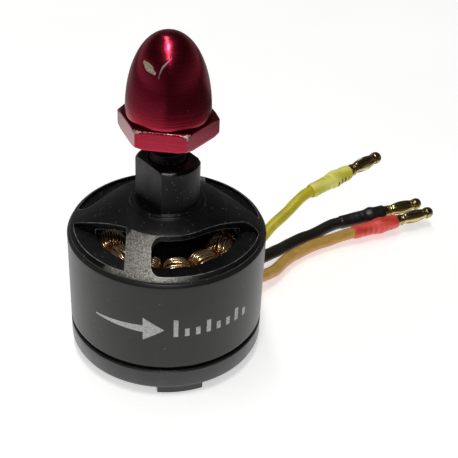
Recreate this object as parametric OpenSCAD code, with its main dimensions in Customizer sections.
// Small brushless outrunner motor with a threaded prop adapter, a red bullet
// nut and three leads that end in bullet connectors.
// Frame: millimetres, +Z toward the bullet nut, origin on the spin axis in
// the plane of the four mounting feet.

/* [Bell and cap] */
// Outside diameter of the turning steel flux ring
bell_d = 28; // [28:0.1:28.6]
// Wall thickness of the flux ring
ring_wall = 1.2; // [1.15:0.05:1.2]
// Rise of the conical cap from its rim to the boss
cap_rise = 4.3; // [4.2:0.05:4.4]
// Radius of the plain disc in the middle of the cap
cap_disc_r = 7.8; // [7.6:0.1:8]
// Inner radius of the ledge at the foot of the cap windows
cap_ledge_r = 10.2; // [10.1:0.1:10.5]
// Width of the band left between the cap windows and the rim
cap_rim_band = 0.9; // [0.7:0.1:1.2]
// Width of the two narrow spokes
narrow_spoke_w = 3.4; // [3:0.1:3.8]

/* [Prop adapter] */
// Diameter of the boss that the propeller sits on
boss_d = 8.9; // [8.7:0.1:9.1]
// Height of the boss above the cap
boss_h = 6.4; // [6.2:0.1:6.5]
// Distance across the two wrench flats on the boss
boss_flats = 6.5; // [6.3:0.1:6.9]
// Thread diameter of the stud
stud_d = 5; // [4.9:0.05:5]
// Length of the stud above the boss
stud_len = 10.4; // [10:0.1:10.4]

/* [Bullet nut] */
// Gap between the boss and the underside of the nut
nut_gap = 4.15; // [4.15:0.05:4.4]
// Distance across the flats of the hexagonal flange
nut_af = 11.76; // [11.6:0.02:12]
// Height of the hexagonal flange
nut_hex_h = 2.7; // [2.6:0.1:2.9]
// Largest diameter of the bullet
nut_d = 11.4; // [11.2:0.1:11.5]
// Height of the bullet above the flange
nut_nose_h = 11.2; // [11:0.1:11.6]

/* [Stator] */
// Number of teeth and coils
teeth = 12; // [12]
// Outside diameter of the stator stack
stator_d = 22.2; // [22:0.1:22.3]
// Height of the stator stack
stack_h = 10; // [9.6:0.1:10]
// Width of a tooth
tooth_w = 1.6; // [1.5:0.1:1.6]
// Number of magnets
poles = 14; // [14]

/* [Base] */
// Height of the base ring above the feet
base_ring_h = 3.3; // [3.3:0.05:3.4]
// Height of the feet
foot_h = 1.6; // [1.5:0.1:1.7]
// Width of each foot
foot_w = 6.4; // [6.2:0.1:6.6]
// Spacing of the wider pair of mounting holes
hole_pcd_a = 19; // [18.8:0.1:19.2]
// Spacing of the closer pair of mounting holes
hole_pcd_b = 16; // [15.9:0.1:16.2]

/* [Shaft and bearings] */
// Shaft diameter
shaft_d = 3.17; // [3.15:0.01:3.18]
// Bearing outside diameter
bearing_d = 8; // [7.95:0.05:8]
// Balls in each bearing
balls = 7; // [6:1:7]

/* [Leads] */
// Diameter of the insulated lead wire
lead_d = 1.9; // [1.8:0.05:1.9]
// Diameter of the heat-shrink sleeve
sleeve_d = 2.6; // [2.5:0.05:2.6]
// Length of the heat-shrink sleeve
sleeve_len = 8.6; // [8.4:0.1:8.8]
// Diameter of the bullet connector pin
pin_d = 2; // [1.9:0.05:2]

/* [Hidden] */
$fn = 96;

// Radii
bell_r = bell_d / 2;
ring_in_r = bell_r - ring_wall;
seat_r = ring_in_r - 0.02;               // parts seated inside the flux ring
window_r = bell_r - 0.1 - cap_rim_band;  // outer edge of the cap windows
boss_r = boss_d / 2;
stud_r = stud_d / 2;
shaft_r = shaft_d / 2;
bearing_r = bearing_d / 2;
tube_r = 4.9;                            // bearing tube of the base
stator_r = stator_d / 2;

// Heights, from the feet up
base_top = foot_h + base_ring_h;
floor_top = foot_h + 1.2;
ring_bot = base_top + 0.55;
ring_top = ring_bot + 14.35;
rim_z = ring_top + 0.4;
boss_z = rim_z + cap_rise;
boss_top = boss_z + boss_h;
bore_top = boss_top - 2;
shaft_top = bore_top - 0.1;
nut_z = boss_top + nut_gap;
nose_z = nut_z + nut_hex_h;
tube_top = ring_top - 0.5;
bearing_h = 4;
lower_z = foot_h + 0.4;
upper_z = tube_top - bearing_h;
stack_z = ring_bot + 1.55;
stack_top = stack_z + stack_h;

// Angles about the spin axis
tooth_a = 9.5;
foot_a = 9;
exit_a = 42;

function unit(v) = v / norm(v);
function polar(r, angle) = r * [cos(angle), sin(angle)];

// Triangle from the axis along +X, reaching half_a degrees to each side.
function wedge(half_a) = [[0, 0], [20, -20 * tan(half_a)], [20, 20 * tan(half_a)]];

module flat_ring(out_r, in_r) difference() {
    circle(out_r);
    circle(in_r);
}

module washer(z, in_r, out_r, h) translate([0, 0, z]) difference() {
    cylinder(r = out_r, h = h);
    translate([0, 0, -1]) cylinder(r = in_r, h = h + 2);
}

// ---------------------------------------------------------------- turning bell

// y of the point at x on the -Y half of a circle about the axis.
function low_y(r, x) = -sqrt(pow(r, 2) - pow(x, 2));

// Outline of one wide window: round at the narrow spoke, running tangent to the
// cap disc and closing in a round end at the wide spoke.
module wide_window() {
    side_x = 1.3 - narrow_spoke_w;
    corner_r = 1.55;
    corner_x = side_x + corner_r;
    tangent_a = -53.5;
    end_r = 1.4;
    end_a = -15.5;
    overlap = 0.05;
    end_centre = polar(window_r - end_r + overlap, end_a);
    far = window_r * 1.2;
    intersection() {
        flat_ring(window_r, cap_disc_r);
        union() {
            polygon([[corner_x, 0], [0, 0], polar(cap_disc_r, tangent_a),
                     end_centre + polar(end_r, tangent_a + 180), end_centre,
                     polar(far, end_a), [far, -far], [corner_x, -far]]);
            translate([side_x, -(window_r - corner_r) + 0.1])
                square([corner_r + 0.01, window_r - cap_disc_r - 2 * corner_r]);
            for (r = [window_r - corner_r + overlap, cap_disc_r + corner_r - overlap])
                translate([corner_x, low_y(r, corner_x)]) circle(corner_r);
            translate(end_centre) circle(end_r);
        }
    }
}

// Outline of one small window: straight along the narrow spoke, tangent to the
// cap disc and open to the rim band.
module small_window() {
    tangent_a = 236.5;
    touch = polar(cap_disc_r, tangent_a);
    along_edge = polar(1, tangent_a - 90);
    spoke_x = -2 - narrow_spoke_w;
    intersection() {
        circle(window_r);
        polygon([touch + along_edge * (spoke_x - touch[0]) / along_edge[0],
                 touch + along_edge * 20, [-20, -20], [spoke_x - 0.4, -20]]);
    }
}

module window_pair() {
    wide_window();
    small_window();
}

// The pockets end on an inner ledge; only the part inside it goes through.
module cap_windows() {
    cut_h = 8;
    for (turn = [0, 180]) rotate(turn) {
        translate([0, 0, rim_z - 0.3]) linear_extrude(cut_h) window_pair();
        translate([0, 0, ring_top - 2]) linear_extrude(cut_h) intersection() {
            window_pair();
            circle(cap_ledge_r);
        }
    }
}

// Half section of cap, boss and stud: [radius, z], from the underside of the
// hub out to the rim, then over the cap and up to the stud tip.
bell_profile = [
    [0, tube_top + 0.32], [3, tube_top + 0.32], [3, rim_z + 2.2], [4.2, rim_z + 2.55],
    [7.7, rim_z + 2.4], [cap_ledge_r, rim_z + 0.75], [cap_ledge_r, rim_z - 1],
    [12.25, rim_z - 1], [12.25, ring_top - 1.05], [seat_r, ring_top - 1.05],
    [seat_r, ring_top], [13.62, ring_top], [13.62, rim_z - 0.12], [13.45, rim_z + 0.08],
    [7.7, rim_z + 3.2], [5.35, boss_z - 0.42], [5.15, boss_z - 0.2],
    [boss_r + 0.25, boss_z - 0.1], [boss_r, boss_z + 0.15],
    [boss_r, boss_top - 0.4], [boss_r - 0.4, boss_top],
    [stud_r + 0.28, boss_top], [stud_r - 0.15, boss_top + 0.45],
    [stud_r - 0.25, boss_top + 0.8], [stud_r, boss_top + 1.1],
    [stud_r, boss_top + stud_len - 0.5], [stud_r - 0.5, boss_top + stud_len],
    [0, boss_top + stud_len]];

module rotor_bell() color([0.17, 0.17, 0.17]) difference() {
    rotate_extrude() polygon(bell_profile);
    cap_windows();
    // Wrench flats on the boss.
    for (turn = [0, 180]) rotate([0, 0, 216 + turn])
        translate([boss_flats / 2, -6, boss_z - 0.05]) cube([4, 12, boss_h + 0.1]);
    // Bore for the shaft.
    translate([0, 0, tube_top]) cylinder(r = shaft_r, h = bore_top - tube_top);
}

module flux_ring() color([0.27, 0.27, 0.26]) {
    chamfer = 0.3;
    rotate_extrude() polygon([
        [ring_in_r, ring_bot], [bell_r - chamfer, ring_bot], [bell_r, ring_bot + chamfer],
        [bell_r, ring_top - chamfer], [bell_r - chamfer, ring_top], [ring_in_r, ring_top]]);
}

module magnets() color([0.55, 0.55, 0.57]) {
    air_gap = 0.35;
    magnet_h = 12.2;
    half_a = 10.8;
    for (k = [0 : poles - 1]) rotate([0, 0, k * 360 / poles])
        translate([0, 0, ring_bot + 0.85]) linear_extrude(magnet_h) intersection() {
            flat_ring(seat_r, stator_r + air_gap);
            polygon(wedge(half_a));
        }
}

// Half section that rounds off the corners of the nut's hexagonal flange: [radius, z].
flange_profile = [
    [0, nut_z], [6.3, nut_z], [7, nut_z + 0.4],
    [7, nose_z - 0.35], [6.2, nose_z], [0, nose_z]];

// Half section of the bullet: a short neck, a curve in even powers of its
// step number, then the tip on the axis.
neck_r = nut_d / 2 - 0.3;
neck_h = 0.14;
nose_steps = 23;
nose_low = 0.07; // sine of the angle at which the curve starts
nose_profile = concat(
    [[0, nose_z - 0.5], [neck_r, nose_z - 0.5], [neck_r, nose_z + 0.12]],
    [for (i = [0 : nose_steps])
        let (t = pow(i / nose_steps, 0.75), angle = asin(nose_low + 0.93 * t))
        [nut_d / 2 * cos(angle) + 0.35 * t,
         nose_z + neck_h + (nut_nose_h - neck_h) * (sin(angle) - nose_low) / 0.93]],
    [[0, nose_z + nut_nose_h]]);

module prop_nut() color([0.7, 0.08, 0.14]) {
    bore_r = stud_r + 0.05;
    bore_depth = 11.2;
    difference() {
        union() {
            intersection() {
                translate([0, 0, nut_z]) rotate([0, 0, -9.07])
                    cylinder(r = nut_af / sqrt(3), h = nut_hex_h, $fn = 6);
                rotate_extrude() polygon(flange_profile);
            }
            rotate_extrude() polygon(nose_profile);
        }
        // Bore, its conical end and the chamfer at its mouth.
        translate([0, 0, nut_z - 1]) cylinder(r = bore_r, h = bore_depth + 1);
        translate([0, 0, nut_z + bore_depth]) cylinder(r1 = bore_r, r2 = 0.2, h = 1);
        translate([0, 0, nut_z - 0.01]) cylinder(r1 = stud_r + 0.45, r2 = bore_r, h = 0.4);
    }
}

// ---------------------------------------------------------------- shaft line

groove_r = 1.2;
groove_bot = foot_h - 0.47;
groove_top = foot_h + 0.05;

module motor_shaft() color([0.7, 0.71, 0.72]) rotate_extrude() polygon([
    [0, 0.5], [shaft_r - 0.3, 0.5], [shaft_r, 0.8], [shaft_r, groove_bot],
    [groove_r, groove_bot], [groove_r, groove_top], [shaft_r, groove_top],
    [shaft_r, shaft_top - 0.2], [shaft_r - 0.2, shaft_top], [0, shaft_top]]);

// Open clip in the shaft groove, mouth toward +X, with two notches in its bore.
module shaft_clip() color([0.3, 0.3, 0.32]) {
    mouth_w = 1.9;
    translate([0, 0, groove_bot + 0.04]) linear_extrude(0.44) difference() {
        circle(2.6);
        circle(groove_r + 0.02);
        translate([0, -mouth_w / 2]) square([4, mouth_w]);
        for (angle = [110, 250]) rotate(angle) translate([1.45, 0]) circle(0.4);
    }
}

module shim(z, h) color([0.75, 0.62, 0.3]) washer(z, shaft_r + 0.03, 2.3, h);
module upper_shim() shim(tube_top + 0.01, 0.3);
module lower_shim() shim(foot_h + 0.08, 0.31);

// ---------------------------------------------------------------- bearings
// Each part takes z, the underside of its bearing.

pitch_r = 2.8;     // circle through the ball centres
ball_r = 0.75;
inner_race_r = 2.35;
outer_race_r = 3.25;
race_colour = [0.78, 0.78, 0.8];

module ball_groove(z) translate([pitch_r, z + bearing_h / 2]) circle(ball_r + 0.02);

module ball_set(z, r)
    for (k = [0 : balls - 1]) rotate([0, 0, k * 360 / balls])
        translate([pitch_r, 0, z + bearing_h / 2]) sphere(r = r);

module bearing_inner(z) color(race_colour) rotate_extrude() difference() {
    translate([shaft_r, z]) square([inner_race_r - shaft_r, bearing_h]);
    ball_groove(z);
}

// The outer race has a step at each face for the shield.
module bearing_outer(z) color(race_colour) rotate_extrude() difference() {
    translate([outer_race_r, z]) square([bearing_r - outer_race_r, bearing_h]);
    ball_groove(z);
    for (step_z = [z - 1, z + bearing_h - 0.35]) translate([3, step_z]) square([0.45, 1.35]);
}

module bearing_balls(z) color([0.85, 0.85, 0.87]) ball_set(z, ball_r);

module bearing_cage(z) color([0.6, 0.5, 0.3]) difference() {
    translate([0, 0, z + bearing_h / 2 - 0.35]) difference() {
        cylinder(r = 3.02, h = 1.45);
        translate([0, 0, -1]) cylinder(r = 2.58, h = 4);
    }
    ball_set(z, ball_r + 0.04);
}

module bearing_shields(z) color([0.7, 0.7, 0.72])
    for (shield_z = [z + 0.1, z + bearing_h - 0.3]) washer(shield_z, 2.42, 3.44, 0.2);

module upper_bearing_inner() bearing_inner(upper_z);
module upper_bearing_outer() bearing_outer(upper_z);
module upper_bearing_balls() bearing_balls(upper_z);
module upper_bearing_cage() bearing_cage(upper_z);
module upper_bearing_shields() bearing_shields(upper_z);
module lower_bearing_inner() bearing_inner(lower_z);
module lower_bearing_outer() bearing_outer(lower_z);
module lower_bearing_balls() bearing_balls(lower_z);
module lower_bearing_cage() bearing_cage(lower_z);
module lower_bearing_shields() bearing_shields(lower_z);

// ---------------------------------------------------------------- base

// Half section of the outer base ring: [radius, z].
base_ring_profile = [
    [12.1, foot_h], [bell_r - 0.7, foot_h], [bell_r - 0.2, foot_h + 0.2],
    [bell_r, foot_h + 0.7], [bell_r, base_top - 0.2], [bell_r - 0.2, base_top],
    [12.3, base_top], [12.1, base_top - 0.2]];

// Half section that trims the outer ends of the feet: [radius, z].
foot_profile = [
    [0, 0], [12.95, 0], [13.25, 0.3], [13.25, foot_h + 0.2], [0, foot_h + 0.2]];

// Ring, floor, bearing tube and the collar at the foot of the tube.
module base_body() rotate_extrude() union() {
    polygon(base_ring_profile);
    translate([0, foot_h]) square([12.3, floor_top - foot_h]);
    translate([0, foot_h]) square([tube_r, tube_top - foot_h]);
    translate([0, foot_h]) square([6, 1.9]);
}

module feet() intersection() {
    for (k = [0 : 3]) rotate([0, 0, foot_a + 90 * k])
        translate([5.2, -foot_w / 2, 0]) cube([9, foot_w, foot_h + 0.4]);
    rotate_extrude() polygon(foot_profile);
}

// Air openings between the feet.
module air_openings()
    for (k = [0 : 3]) rotate([0, 0, foot_a + 45 + 90 * k])
        translate([0, 0, foot_h - 0.5]) linear_extrude(2) intersection() {
            flat_ring(11.4, 7.2);
            polygon(wedge(19));
        }

// Tapped mounting holes: each pair is [turn from the first foot, spacing].
module mounting_holes()
    for (pair = [[0, hole_pcd_a], [90, hole_pcd_b]], side = [-1, 1])
        rotate([0, 0, foot_a + pair[0]]) translate([side * pair[1] / 2, 0, -1])
            cylinder(r = 1.25, h = 6);

module motor_base() color([0.2, 0.2, 0.2]) {
    notch_w = 6.1;
    difference() {
        union() {
            base_body();
            feet();
        }
        // Bearing bore and the narrower hole below it.
        translate([0, 0, lower_z]) cylinder(r = bearing_r, h = tube_top);
        cylinder(r = 3.2, h = 5);
        air_openings();
        mounting_holes();
        // Notch in the base ring for the three leads.
        rotate([0, 0, exit_a]) translate([11, -notch_w / 2, floor_top]) cube([5, notch_w, 4]);
    }
}

// ---------------------------------------------------------------- stator

insulator_t = 0.5;
insulator_half_w = tooth_w / 2 + 0.2;

// Hub, teeth of the given half width and the curved tooth tips.
module stack_outline(half_w) {
    difference() {
        union() {
            circle(6);
            for (k = [0 : teeth - 1]) rotate(tooth_a + k * 360 / teeth)
                translate([5, -half_w]) square([5.6, 2 * half_w]);
            intersection() {
                flat_ring(stator_r, stator_r - 0.8);
                for (k = [0 : teeth - 1]) rotate(tooth_a + k * 360 / teeth)
                    polygon(wedge(12));
            }
        }
        circle(tube_r + 0.02);
    }
}

module stack_body()
    translate([0, 0, stack_z]) linear_extrude(stack_h) stack_outline(tooth_w / 2);

module stator_core() color([0.36, 0.36, 0.38]) stack_body();

module insulator_half(bottom, top) color([0.12, 0.12, 0.12]) difference() {
    translate([0, 0, bottom]) linear_extrude(top - bottom) stack_outline(insulator_half_w);
    stack_body();
}
module upper_insulator() insulator_half(stack_z + stack_h / 2, stack_top + insulator_t);
module lower_insulator() insulator_half(stack_z - insulator_t, stack_z + stack_h / 2);

// One coil: a rounded bundle wound round a tooth, wider toward the outside.
module coil() {
    top = stack_top + 2.4;
    bottom = stack_z - 2.1;
    corner_r = 1.1;
    flat_half_w = 1.5; // half width between the rounded corners
    half_w = flat_half_w + corner_r;
    slack = 0.01;
    difference() {
        intersection() {
            translate([6.05, 0, 0]) rotate([90, 0, 90]) linear_extrude(3.6) union() {
                translate([-half_w, bottom + corner_r])
                    square([2 * half_w, top - bottom - 2 * corner_r]);
                translate([-flat_half_w, bottom]) square([2 * flat_half_w, top - bottom]);
                for (side = [-1, 1], z = [top - corner_r, bottom + corner_r])
                    translate([side * flat_half_w, z]) circle(corner_r);
            }
            translate([0, 0, bottom - 1]) linear_extrude(top - bottom + 2) polygon(wedge(14));
        }
        // Room for the insulated tooth.
        translate([5, -insulator_half_w - slack, stack_z - insulator_t - slack])
            cube([7, 2 * (insulator_half_w + slack), stack_h + 2 * (insulator_t + slack)]);
    }
}

// Two neighbouring coils and the two opposite them.
module phase(n) color([0.8, 0.47, 0.22])
    for (k = [2 * n, 2 * n + 1, 2 * n + 6, 2 * n + 7])
        rotate([0, 0, tooth_a + k * 360 / teeth]) coil();
module windings_phase_a() phase(0);
module windings_phase_b() phase(1);
module windings_phase_c() phase(2);

// ---------------------------------------------------------------- leads

sleeve_r = sleeve_d / 2;
pin_r = pin_d / 2;
pin_from = 4.2;               // inner end of the pin, from the sleeve start
neck_from = sleeve_len + 1.1; // start of the pin's neck, from the sleeve start
neck_tail = 1.5;              // end of the neck, back from the pin tip

// Moves children so that local Z runs from origin along v and local X lies level.
module along(origin, v) {
    dir = unit(v);
    across = unit(cross(dir, [0, 0, 1]));
    up = cross(dir, across);
    multmatrix([[across[0], up[0], dir[0], origin[0]],
                [across[1], up[1], dir[1], origin[1]],
                [across[2], up[2], dir[2], origin[2]],
                [0, 0, 0, 1]]) children();
}

// Points of one corner of a path bent to radius r: a single point for a slight
// turn, otherwise a run of points along the arc.
function corner(path, i, r) =
    let (before = unit(path[i] - path[i - 1]),
         after = unit(path[i + 1] - path[i]),
         angle = acos(min(1, before * after)))
    angle < 14 ? [path[i]] :
    let (inward = unit(after - before * (before * after)),
         start = path[i] - before * r * tan(angle / 2),
         steps = ceil(angle / 18))
    [for (k = [0 : steps]) let (swept = angle * k / steps)
        start + r * sin(swept) * before + r * (1 - cos(swept)) * inward];

function bent(path, r) = concat(
    [path[0]],
    [for (i = [1 : len(path) - 2]) each corner(path, i, r)],
    [path[len(path) - 1]]);

// Round wire along a path, with the corners bent to bend_r. Its straight
// pieces stop short of each joint, where a slightly larger ball covers the gap.
module bent_wire(path, wire_r, bend_r) {
    points = bent(path, bend_r);
    last = len(points) - 2;
    for (i = [0 : last]) {
        span = points[i + 1] - points[i];
        gap_start = i == 0 ? 0 : 0.2;
        gap_end = i == last ? 0 : 0.2;
        along(points[i] + unit(span) * gap_start, span)
            cylinder(r = wire_r, h = norm(span) - gap_start - gap_end);
        if (i > 0) along(points[i], span) rotate([4, 3, 40]) sphere(r = wire_r + 0.03);
    }
}

// Point of a lead inside the base: offset sideways from the exit direction, at
// distance r along it.
function lead_in(offset, r) =
    [each polar(r, exit_a) + polar(offset, exit_a + 90), floor_top + 0.98];

// Route of each lead, as [x, y, z]: its bends outside the base, the start of
// its sleeve and the tip of its pin.
yellow_bends = [[16, 14, 10], [19.8, 16.9, 12]];
yellow_start = [23.1, 19.6, 13.2];
yellow_tip = [35.8, 29.2, 14.4];
black_bends = [[16.4, 16.1, 2.7], [21.6, 21.5, 1.9], [25.4, 23.9, 1.9]];
black_start = [29.9, 26.6, 2.3];
black_tip = [45.1, 31.7, 3.4];
red_bends = [[16.4, 11.2, 2.5], [19.7, 16.2, 1.9], [22.8, 19.3, 1.8], [27.2, 21.9, 1.8]];
red_start = [31.9, 23.8, 2.2];
red_tip = [46.8, 29.5, 3];
lead_pitch = 1.95; // sideways spacing of the leads inside the base

module lead_wire(offset, bends, start, tip) {
    dir = unit(tip - start);
    path = concat([lead_in(offset, 8.2), lead_in(offset, 14.6)], bends,
                  [start - dir * 1.5, start + dir * 4]);
    bent_wire(path, wire_r = lead_d / 2, bend_r = 4);
}

module lead_sleeve(start, tip) along(start, tip - start) difference() {
    rotate_extrude() polygon([
        [0, 0], [sleeve_r - 0.12, 0], [sleeve_r - 0.05, 0.3], [sleeve_r, 3.4],
        [sleeve_r + 0.15, 4.6], [sleeve_r + 0.12, 7], [sleeve_r, sleeve_len - 0.4],
        [sleeve_r - 0.05, sleeve_len], [0, sleeve_len]]);
    translate([0, 0, -1]) cylinder(r = lead_d / 2 + 0.03, h = pin_from + 1);
    translate([0, 0, pin_from]) cylinder(r = pin_r, h = sleeve_len);
}

module lead_pin(start, tip) color([0.85, 0.68, 0.3]) {
    length = norm(tip - start);
    neck_r = pin_r - 0.3;
    along(start, tip - start) rotate_extrude() polygon([
        [0, pin_from], [pin_r, pin_from], [pin_r, neck_from - 0.2], [neck_r, neck_from],
        [neck_r, length - neck_tail], [pin_r, length - 1.3], [pin_r, length - 0.7],
        [pin_r - 0.35, length - 0.1], [pin_r - 0.6, length], [0, length]]);
}

// Slotted lantern spring round the neck of the pin.
module lead_spring(start, tip) color([0.9, 0.75, 0.4]) {
    neck_to = norm(tip - start) - neck_tail;
    middle = (neck_from + neck_to) / 2;
    bulge = (neck_to - neck_from) / 5; // half length of the widest part
    in_r = pin_r - 0.29;
    end_r = pin_r - 0.08;
    bulge_r = pin_r + 0.12;
    bulge_in_r = pin_r - 0.02;
    slot_w = 0.26;
    along(start, tip - start) difference() {
        rotate_extrude() polygon([
            [in_r, neck_from + 0.05], [end_r, neck_from + 0.05],
            [bulge_r, middle - bulge], [bulge_r, middle + bulge],
            [end_r, neck_to - 0.05], [in_r, neck_to - 0.05], [in_r, neck_to - 0.4],
            [bulge_in_r, middle + bulge], [bulge_in_r, middle - bulge],
            [in_r, neck_from + 0.4]]);
        for (k = [0 : 7]) rotate([0, 0, k * 45])
            translate([0.5, -slot_w / 2, neck_from + 0.6])
                cube([1.5, slot_w, neck_to - neck_from - 1.2]);
    }
}

module yellow_wire() color([0.72, 0.62, 0.1])
    lead_wire(0, yellow_bends, yellow_start, yellow_tip);
module yellow_sleeve() color([0.9, 0.85, 0.45]) lead_sleeve(yellow_start, yellow_tip);
module yellow_pin() lead_pin(yellow_start, yellow_tip);
module yellow_pin_spring() lead_spring(yellow_start, yellow_tip);
module black_wire() color([0.1, 0.1, 0.1])
    lead_wire(lead_pitch, black_bends, black_start, black_tip);
module black_sleeve() color([0.07, 0.07, 0.07]) lead_sleeve(black_start, black_tip);
module black_pin() lead_pin(black_start, black_tip);
module black_pin_spring() lead_spring(black_start, black_tip);
module red_wire() color([0.75, 0.35, 0.2])
    lead_wire(-lead_pitch, red_bends, red_start, red_tip);
module red_sleeve() color([0.85, 0.3, 0.25]) lead_sleeve(red_start, red_tip);
module red_pin() lead_pin(red_start, red_tip);
module red_pin_spring() lead_spring(red_start, red_tip);

rotor_bell();
flux_ring();
magnets();
motor_shaft();
shaft_clip();
upper_shim();
lower_shim();
prop_nut();
upper_bearing_inner();
upper_bearing_outer();
upper_bearing_balls();
upper_bearing_cage();
upper_bearing_shields();
lower_bearing_inner();
lower_bearing_outer();
lower_bearing_balls();
lower_bearing_cage();
lower_bearing_shields();
motor_base();
stator_core();
upper_insulator();
lower_insulator();
windings_phase_a();
windings_phase_b();
windings_phase_c();
yellow_wire();
yellow_sleeve();
yellow_pin();
yellow_pin_spring();
black_wire();
black_sleeve();
black_pin();
black_pin_spring();
red_wire();
red_sleeve();
red_pin();
red_pin_spring();
